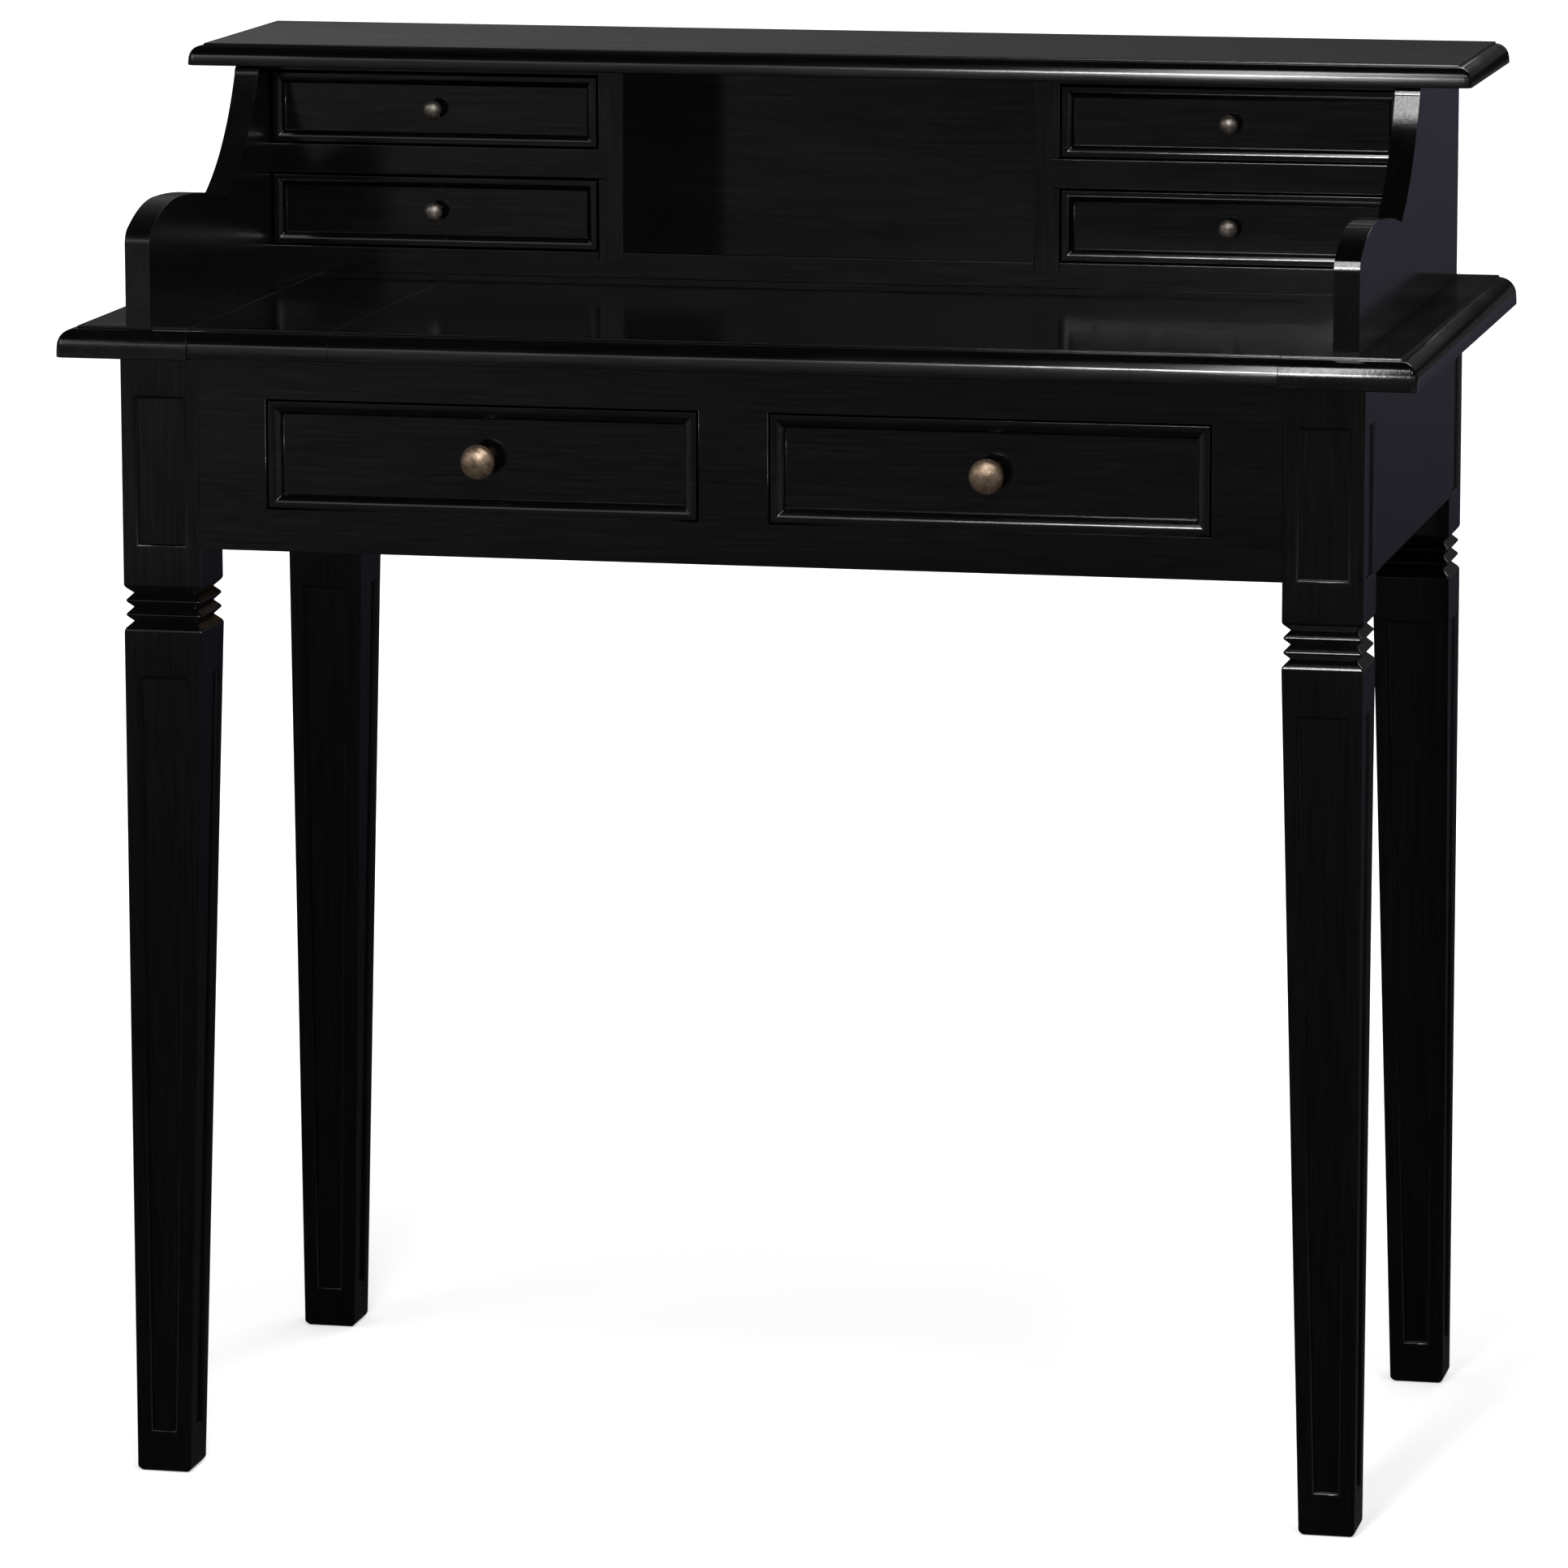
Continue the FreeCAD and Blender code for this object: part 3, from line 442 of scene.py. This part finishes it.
# A board with an ovolo and a small step along its front and its named ends
def mouldedBoard(form, x0, x1, y0, y1, z0, z1, edge, left, right):
    roundTop = z1 - edge["step"]
    # the flat's lean runs on into the ovolo, so its slope at the top is where the round starts
    rise = roundTop - z0 - edge["round"]
    for _ in range(boardLook["settling"]):  # rise and start depend on each other
        start = math.atan(2 * edge["lean"] / rise)
        radius = (edge["round"] - edge["lean"]) / math.cos(start)
        rise = roundTop - z0 - radius * (1 - math.sin(start))
    leaning = [i / boardLook["leanSteps"] for i in range(boardLook["leanSteps"])]
    profile = [(edge["lean"] * share ** 2, z0 + rise * share) for share in leaning]
    for i in range(edge["roundSteps"] + 1):
        turn = start + (math.pi / 2 - start) * i / edge["roundSteps"]
        profile.append((edge["round"] - radius * math.cos(turn),
                        z0 + rise + radius * (math.sin(turn) - math.sin(start))))
    profile.append((edge["round"], z1))
    extra = ([] if right else [(x1, y1)]) + ([] if left else [(x0, y1)])
    rings = [[Vector((x, y, z)) for x, y in planPath(x0, x1, y0, y1, inset, left, right)]
             for inset, z in profile]
    for lower, upper in zip(rings, rings[1:]):
        for j in range(len(lower) - 1):
            corners = distinct([lower[j], lower[j + 1], upper[j + 1], upper[j]])
            if len(corners) > 2:
                polygon(form, corners)
    columns = [[ring[-1] for ring in rings]]
    columns += [[Vector((x, y, z0)), Vector((x, y, z1))] for x, y in extra]
    columns.append([ring[0] for ring in rings])
    for first, second in zip(columns, columns[1:]):
        polygon(form, first + second[::-1])
    for ring, level in ((rings[0], z0), (rings[-1], z1)):
        polygon(form, distinct(ring + [Vector((x, y, level)) for x, y in extra]))


# One or more boards side by side, with a fine V between neighbours
def board(node, spans, edge, left=False, right=False):
    low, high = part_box(node)
    form = bmesh.new()
    for x0, x1 in spans:
        mouldedBoard(form, x0, x1, low.y, high.y, low.z, high.z, edge, left, right)
    bmesh.ops.remove_doubles(form, verts=form.verts, dist=fineWeld)
    bmesh.ops.recalc_face_normals(form, faces=form.faces)
    joints = [x for span in spans for x in span]
    joints = joints[1 if left else 0:-1 if right else None]
    weights = weightsOf(form)
    for line in form.edges:
        if line.calc_face_angle(0) > math.radians(boardLook["sharp"]):
            glued = any(all(abs(vert.co.x - x) < weld for vert in line.verts) for x in joints)
            line[weights] = boardLook["jointArris"] if glued else 1.0
    arrises(addPiece(node + "_form", meshFrom(node + "_form", form), node, lacquerFor(*edge["finish"])),
            boardLook["arris"], boardLook["arrisSteps"])


topLow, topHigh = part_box("hutch_top")
endLow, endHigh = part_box("desk_top_end_right")
joint = endLow.x
innerLine = joint - boardLook["innerLine"]
endGap, innerGap = boardLook["endGap"], boardLook["innerGap"]
panelSpans = [(-joint + endGap, -innerLine - innerGap), (-innerLine + innerGap, innerLine - innerGap),
              (innerLine + innerGap, joint - endGap)]
board("desk_top_panel", panelSpans, boardLook["panel"])
board("desk_top_end_right", [(joint + endGap, endHigh.x)], boardLook["ends"], right=True)
board("desk_top_end_left", [(-endHigh.x, -joint - endGap)], boardLook["ends"], left=True)
board("hutch_top", [(topLow.x, topHigh.x)], boardLook["hutch"], left=True, right=True)
print("moulded boards made")

# Frame, hutch and drawer fronts: how far their arrises are rounded over, in metres. Glued joints stay tight.
frameLook = {
    "arris": 0.0009, "frontArris": 0.0006, "arrisSteps": 2, "sharp": 20,
    "touching": 0.00006,  # an edge this close to its neighbour is a joint
    "probes": (0.2, 0.5, 0.8), "probesTouching": 2,  # where an edge is tried, and how many tell a joint
    "reach": 0.001,  # how far off a piece can be and still count as a neighbour
    "flat": 0.6,  # faces that turn by less than this, in degrees, become one
    "finish": ("x", 1.0, 0.0, 0.0),  # the front frame's one finish: grain, seed, satin and wear
    "finishes": 5,  # the other pieces take turns with this many
    "dulled": {"hutch_side_left": 0.12},  # satin of pieces that are rubbed duller than the rest
}
grainUpright = ("stile", "divider")
grainDeep = ("apron_side", "hutch_side")
woodDeep = ("_sides", "runner", "kicker")


# Which way a piece's grain runs
def axisOf(node):
    if any(part in node for part in grainUpright):
        return "z"
    return "y" if any(part in node for part in grainDeep) else "x"


def surfaceOf(node):
    data = nodes[node].data
    place = nodes[node].matrix_world
    points = [place @ vert.co for vert in data.vertices]
    return BVHTree.FromPolygons(points, [tuple(face.vertices) for face in data.polygons])


surfaces = {node: surfaceOf(node) for node in nodes}


def near(box, other):
    gap = frameLook["reach"]
    return all(box[0][i] - gap < other[1][i] and other[0][i] - gap < box[1][i] for i in range(3))


# The front rails are cut where a stile begins or ends, because only their free stretches are rounded
frontRails = ("apron_top_rail", "apron_bottom_rail")
frontStiles = ("apron_stile_centre", "apron_stiles_end")
frontFrame = frontRails + frontStiles
stileSides = sorted({round(vert.co.x, 5) for stile in frontStiles for vert in nodes[stile].data.vertices})


# A node's own shape with its flat faces made whole, its free arrises rounded over and its joints kept tight
def softened(node, arris, material, look=frameLook):
    mesh = nodes[node].data.copy()
    place = nodes[node].matrix_world
    mesh.transform(place)
    form = bmesh.new()
    form.from_mesh(mesh)
    bmesh.ops.remove_doubles(form, verts=form.verts, dist=weld)
    bmesh.ops.dissolve_limit(form, angle_limit=math.radians(look["flat"]), verts=form.verts, edges=form.edges)
    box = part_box(node)
    if node in frontRails:
        for x in stileSides:
            bmesh.ops.bisect_plane(form, geom=form.verts[:] + form.edges[:] + form.faces[:], dist=hair,
                                   plane_co=(x, 0, 0), plane_no=(1, 0, 0))
    neighbours = [surfaces[other] for other in sorted(nodes)
                  if other != node and bodyOf[other] == bodyOf[node] and near(box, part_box(other))]
    weights = weightsOf(form)
    for edge in form.edges:
        edge.smooth = True
        if len(edge.link_faces) != 2 or edge.calc_face_angle(0) < math.radians(look["sharp"]):
            continue
        first, last = edge.verts[0].co, edge.verts[1].co
        touched = 0
        for share in look["probes"]:
            point = first.lerp(last, share)
            touched += any(tree.find_nearest(point, look["touching"])[0] is not None for tree in neighbours)
        edge.smooth = touched < look["probesTouching"]
        edge[weights] = float(edge.smooth)
    form.to_mesh(mesh)
    form.free()
    for layer in [a.name for a in mesh.attributes if a.name in ("custom_normal", "sharp_face")]:
        mesh.attributes.remove(mesh.attributes[layer])
    arrises(addPiece(node + "_soft", mesh, node, material), arris, look["arrisSteps"])


for index, node in enumerate(sorted(nodes)):
    if slotOf[node] == "black_lacquer" and not node.startswith(("leg_", "desk_top", "hutch_top")):
        # the front frame's joints are filled and lacquered over, so one finish runs across all of it
        if node in frontFrame:
            finish = frameLook["finish"]
        else:
            finish = (axisOf(node), float(index % frameLook["finishes"]), frameLook["dulled"].get(node, 0.0))
        arris = frameLook["frontArris" if node.endswith("_front") else "arris"]
        softened(node, arris, lacquerFor(*finish))
print("frame, hutch and drawer fronts softened")

for node, piece in nodes.items():
    if slotOf[node] == "bare_wood":
        axis = "y" if any(part in node for part in woodDeep) else "x"
        piece.data.materials.clear()
        piece.data.materials.append(woods[axis])
print("inside wood dressed")

# A turned knob. Metres for the spigot's depth and for how deep the drawer's field lies; the rest are
# shares of the knob's radius or, for places along it, of its reach.
knobLook = {
    "around": 72, "spigot": 0.003, "field": 0.0045, "spigotRadius": 0.18,
    "rosette": 0.56, "bead": 0.06, "beadOut": 0.045, "beadHeight": 0.055, "beadSteps": 6,
    "hollow": 0.16, "hollowPace": 1.15, "flare": 0.5, "flareFrom": 0.45, "flarePower": 1.6,
    "neckOut": 0.10, "neckLength": 0.42, "neckSteps": 12,
    "rimOut": 0.70, "dome": 0.30, "under": 0.20, "headStart": -62, "headTurn": 152, "headSteps": 24,
}


# Rosette with a bead, hollow neck, and a head with a low dome, as (radius, distance off the drawer)
def knobProfile(radius, reach, look=knobLook):
    spigotRadius = radius * look["spigotRadius"]
    points = [(0.0, -look["spigot"]), (spigotRadius, -look["spigot"]), (spigotRadius, 0.0)]
    points.append((radius * (look["rosette"] + look["bead"]), 0.0))
    for i in range(look["beadSteps"] + 1):
        turn = math.radians(90 * i / look["beadSteps"])
        points.append((radius * (look["rosette"] + look["bead"] * math.cos(turn)),
                       reach * (look["beadOut"] + look["beadHeight"] * math.sin(turn))))
    for i in range(1, look["neckSteps"] + 1):
        along = i / look["neckSteps"]
        hollow = look["hollow"] * math.sin(math.pi * min(along * look["hollowPace"], 1) * 0.5)
        flare = look["flare"] * max(along - look["flareFrom"], 0) ** look["flarePower"]
        points.append((radius * (look["rosette"] - hollow + flare),
                       reach * (look["neckOut"] + look["neckLength"] * along)))
    for i in range(1, look["headSteps"] + 1):  # underside, rim and dome
        turn = math.radians(look["headStart"] + look["headTurn"] * i / look["headSteps"])
        height = look["dome"] if turn > 0 else look["under"]
        points.append((max(math.cos(turn) * radius, 0.0), reach * (look["rimOut"] + height * math.sin(turn))))
    return points


# Spins a profile round an axis that points out of the drawer's face
def turned(node, profile, centre, face, material):
    form = bmesh.new()
    count = knobLook["around"]
    turns = [2 * math.pi * i / count for i in range(count)]
    rings = []
    for radius, out in profile:
        if radius < hair:
            rings.append([form.verts.new((centre[0], face - out, centre[1]))])
        else:
            rings.append([form.verts.new((centre[0] + radius * math.cos(turn), face - out,
                                          centre[1] + radius * math.sin(turn))) for turn in turns])
    for lower, upper in zip(rings, rings[1:]):
        for i in range(count):
            j = (i + 1) % count
            corners = [lower[i % len(lower)], lower[j % len(lower)],
                       upper[j % len(upper)], upper[i % len(upper)]]
            corners = list(dict.fromkeys(corners))
            if len(corners) > 2:
                form.faces.new(corners)
    mesh = meshFrom(node + "_turned", form)
    for facet in mesh.polygons:
        facet.use_smooth = True
    addPiece(node + "_turned", mesh, node, material)


for node in sorted(nodes):
    if node.endswith("_knob"):
        low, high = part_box(node)
        field = high.y - knobLook["field"]
        centre = (low.x + high.x) / 2, (low.z + high.z) / 2
        metal = knobMetals["small" if node.startswith("small_") else "large"]
        turned(node, knobProfile((high.x - low.x) / 2, field - low.y), centre, field, metal)
print("knobs turned")

# Metres, degrees and millimetres
cameraLook = {
    "place": (1.14856, -5.25638, 1.40339), "turns": (12.468, 10.177, -0.120),  # yaw, pitch, roll
    "lens": 189.22, "sensor": 36, "clipEnd": 60,
}


def aim(yaw, pitch, roll):
    return (Matrix.Rotation(math.radians(yaw), 4, "Z") @ Matrix.Rotation(math.radians(90 - pitch), 4, "X")
            @ Matrix.Rotation(math.radians(roll), 4, "Z"))


cameraData = bpy.data.cameras.new("camera")
cameraData.lens = cameraLook["lens"]
cameraData.sensor_width = cameraLook["sensor"]
cameraData.sensor_fit = "HORIZONTAL"
cameraData.clip_end = cameraLook["clipEnd"]
camera = bpy.data.objects.new("camera", cameraData)
camera.matrix_world = Matrix.Translation(cameraLook["place"]) @ aim(*cameraLook["turns"])
bpy.context.scene.collection.objects.link(camera)
bpy.context.scene.camera = camera


def background(tree, strength, colour=(1, 1, 1)):
    node = tree.nodes.new("ShaderNodeBackground")
    node.inputs["Color"].default_value = (*colour, 1)
    if isinstance(strength, (int, float)):
        node.inputs["Strength"].default_value = strength
    else:
        link(tree, strength, node.inputs["Strength"])
    return node.outputs[0]


def mixShaders(tree, share, first, second):
    node = tree.nodes.new("ShaderNodeMixShader")
    link(tree, share, node.inputs[0])
    link(tree, first, node.inputs[1])
    link(tree, second, node.inputs[2])
    return node.outputs[0]


# The world: white for the camera and a soft fill for the object. For its gloss there is a pale band over
# the front horizon and a dimmer one behind, which falls off to the right. Ranges are of the direction's
# x (to the right), y (to the back) and z (up), each with its two levels.
worldLook = {
    "fill": 0.42, "levelFront": 0.08, "tint": (0.97, 0.98, 1.0),
    "falloff": (-0.30, -0.12, 0.165, 0.055), "behind": (-0.4, 0.5, 0, 1), "overhead": (0.35, 0.75, 1, 0.12),
    "front": (-0.6, 0.1, 1, 0), "bandTop": (0.42, 0.48, 1, 0),
    "bandFoot": (-0.06, 0.26, 0, 0.40), "bandFull": (0.26, 0.34, 0, 0.80),
}


def studioWorld(look):
    world = bpy.data.worlds.new("studio")
    bpy.context.scene.world = world
    world.use_nodes = True
    tree = world.node_tree
    tree.nodes.clear()
    path = tree.nodes.new("ShaderNodeLightPath")
    output = tree.nodes.new("ShaderNodeOutputWorld")
    way = tree.nodes.new("ShaderNodeSeparateXYZ")
    link(tree, tree.nodes.new("ShaderNodeTexCoord").outputs["Generated"], way.inputs[0])

    def along(axis, name):
        return mapped(tree, way.outputs[axis], *look[name])

    level = mathNode(tree, "SUBTRACT", along("X", "falloff"), look["levelFront"])
    level = mathNode(tree, "MULTIPLY", along("Y", "behind"), level)
    level = mathNode(tree, "ADD", level, look["levelFront"])
    level = mathNode(tree, "MULTIPLY", level, along("Z", "overhead"))
    band = mathNode(tree, "ADD", along("Z", "bandFoot"), along("Z", "bandFull"))
    band = mathNode(tree, "MULTIPLY", band, along("Z", "bandTop"))
    band = mathNode(tree, "MULTIPLY", along("Y", "front"), band)
    mirrored = background(tree, mathNode(tree, "ADD", level, band), look["tint"])
    soft = mixShaders(tree, path.outputs["Is Glossy Ray"], background(tree, look["fill"]), mirrored)
    seen = mathNode(tree, "MAXIMUM", path.outputs["Is Camera Ray"], path.outputs["Is Transmission Ray"])
    link(tree, mixShaders(tree, seen, soft, background(tree, 1.0)), output.inputs["Surface"])


studioWorld(worldLook)

# The floor: pale for the camera. What the gloss mirrors of it is dark by the feet, paler far off and to
# both sides, neutral in front and bluish behind, and darker in a wedge straight behind. Ranges
# in metres, each with its two levels.
floorLook = {
    "reach": 12, "colour": 0.82, "lift": (0.3, 2.4, 0.42, 1.0),
    "away": (0.2, 5.5, 0.028, 0.11), "sideward": (1.0, 3.0, 1.0, 2.6), "backward": (-1.0, 1.5, 1.0, 0.34),
    "wedgeSlope": 0.55, "wedge": (-0.1, 0.5, 0.0, 1.0),
    "tinted": (0.0, 2.0, 0, 1), "frontTint": (0.97, 0.97, 0.97), "backTint": (0.96, 0.95, 1.30),
}


def floorMaterial(look):
    material = bpy.data.materials.new("floor")
    material.use_nodes = True
    tree = material.node_tree
    tree.nodes.clear()
    path = tree.nodes.new("ShaderNodeLightPath")
    output = tree.nodes.new("ShaderNodeOutputMaterial")
    place = tree.nodes.new("ShaderNodeTexCoord").outputs["Object"]
    way = tree.nodes.new("ShaderNodeSeparateXYZ")
    link(tree, place, way.inputs[0])
    length = tree.nodes.new("ShaderNodeVectorMath")
    length.operation = "LENGTH"
    link(tree, place, length.inputs[0])
    distance = length.outputs["Value"]
    off = mathNode(tree, "ABSOLUTE", way.outputs["X"], 0.0)
    # for the camera
    matt = tree.nodes.new("ShaderNodeBsdfDiffuse")
    matt.inputs["Color"].default_value = (look["colour"],) * 3 + (1,)
    lift = tree.nodes.new("ShaderNodeEmission")
    glow = mathNode(tree, "MULTIPLY", path.outputs["Is Camera Ray"], mapped(tree, distance, *look["lift"]))
    link(tree, glow, lift.inputs["Strength"])
    pale = tree.nodes.new("ShaderNodeAddShader")
    link(tree, matt.outputs[0], pale.inputs[0])
    link(tree, lift.outputs[0], pale.inputs[1])
    # for the gloss
    slope = mathNode(tree, "MULTIPLY", way.outputs["Y"], look["wedgeSlope"])
    beside = mapped(tree, mathNode(tree, "SUBTRACT", off, slope), *look["wedge"])
    backward = mathNode(tree, "MAXIMUM", mapped(tree, way.outputs["Y"], *look["backward"]), beside)
    level = mathNode(tree, "MULTIPLY", backward, mapped(tree, off, *look["sideward"]))
    level = mathNode(tree, "MULTIPLY", mapped(tree, distance, *look["away"]), level)
    tinted = mapped(tree, way.outputs["Y"], *look["tinted"])
    dim = tree.nodes.new("ShaderNodeEmission")
    link(tree, ramp(tree, tinted, ((0.0, look["frontTint"]), (1.0, look["backTint"]))), dim.inputs["Color"])
    link(tree, level, dim.inputs["Strength"])
    surface = mixShaders(tree, path.outputs["Is Glossy Ray"], pale.outputs[0], dim.outputs[0])
    link(tree, surface, output.inputs["Surface"])
    return material


# A black flag behind the desk, which only gloss mirrors: the writing surface and the foot of the hutch see
# it, and the hutch's top looks over it
flagLook = {"glow": 0.010, "place": 1.2, "half": 0.9, "low": 0.84, "high": 0.97}


def flagMaterial(look):
    material = bpy.data.materials.new("flag_black")
    material.use_nodes = True
    tree = material.node_tree
    tree.nodes.clear()
    glow = tree.nodes.new("ShaderNodeEmission")
    glow.inputs["Strength"].default_value = look["glow"]
    link(tree, glow.outputs[0], tree.nodes.new("ShaderNodeOutputMaterial").inputs["Surface"])
    return material


# A flat sheet of the studio, from its four corners
def sheet(name, corners, material):
    mesh = bpy.data.meshes.new(name)
    mesh.from_pydata(corners, [], [(0, 1, 2, 3)])
    mesh.materials.append(material)
    piece = bpy.data.objects.new(name, mesh)
    bpy.context.scene.collection.objects.link(piece)
    return piece


reach = floorLook["reach"]
sheet("floor", [(-reach, -reach, 0), (reach, -reach, 0), (reach, reach, 0), (-reach, reach, 0)],
      floorMaterial(floorLook))
half, back, low, high = (flagLook[name] for name in ("half", "place", "low", "high"))
flag = sheet("flag", [(-half, back, low), (half, back, low), (half, back, high), (-half, back, high)],
             flagMaterial(flagLook))
flag.visible_camera = flag.visible_diffuse = flag.visible_shadow = flag.visible_transmission = False

# Softboxes, in metres, watts and degrees. The strip is tall and leans over the right-hand end.
lampLook = {
    "key": {"place": (-0.09, -3.2, 2.1), "facing": (0, 0, 0.7), "size": (0.60, 0.22), "watts": 27},
    "strip": {"place": (0.134, -1.79, 1.974), "facing": (0.134, -1.193, 1.174), "size": (0.26, 2.07),
              "watts": 22, "roll": -2.9},
    "upperRight": {"place": (1.4, -1.7, 2.9), "facing": (0, 0, 0.6), "size": (0.35, 0.35), "watts": 16,
                   "colour": (0.97, 0.98, 1)},
    "left": {"place": (-2.6, -2.6, 2.2), "facing": (0, 0, 0.5), "size": (1.6, 1.6), "watts": 14,
             "colour": (1, 0.98, 0.95)},
    "behind": {"place": (0.8, 2.6, 2.4), "facing": (0, 0, 0.6), "size": (1.4, 1.0), "watts": 22,
               "colour": (0.95, 0.97, 1)},
}


def softbox(name, place, facing, size, watts, colour=(1, 1, 1), roll=0):
    light = bpy.data.lights.new(name, "AREA")
    light.shape = "RECTANGLE"
    light.size, light.size_y = size
    light.energy = watts
    light.color = colour
    lamp = bpy.data.objects.new(name, light)
    lamp.location = place
    turn = (Vector(facing) - Vector(place)).to_track_quat("-Z", "Y").to_matrix().to_4x4()
    lamp.rotation_euler = (turn @ Matrix.Rotation(math.radians(roll), 4, "Z")).to_euler()
    bpy.context.scene.collection.objects.link(lamp)


for name, settings in lampLook.items():
    softbox(name, **settings)
bpy.context.scene.view_settings.view_transform = "Standard"
print("camera, floor and lights set")
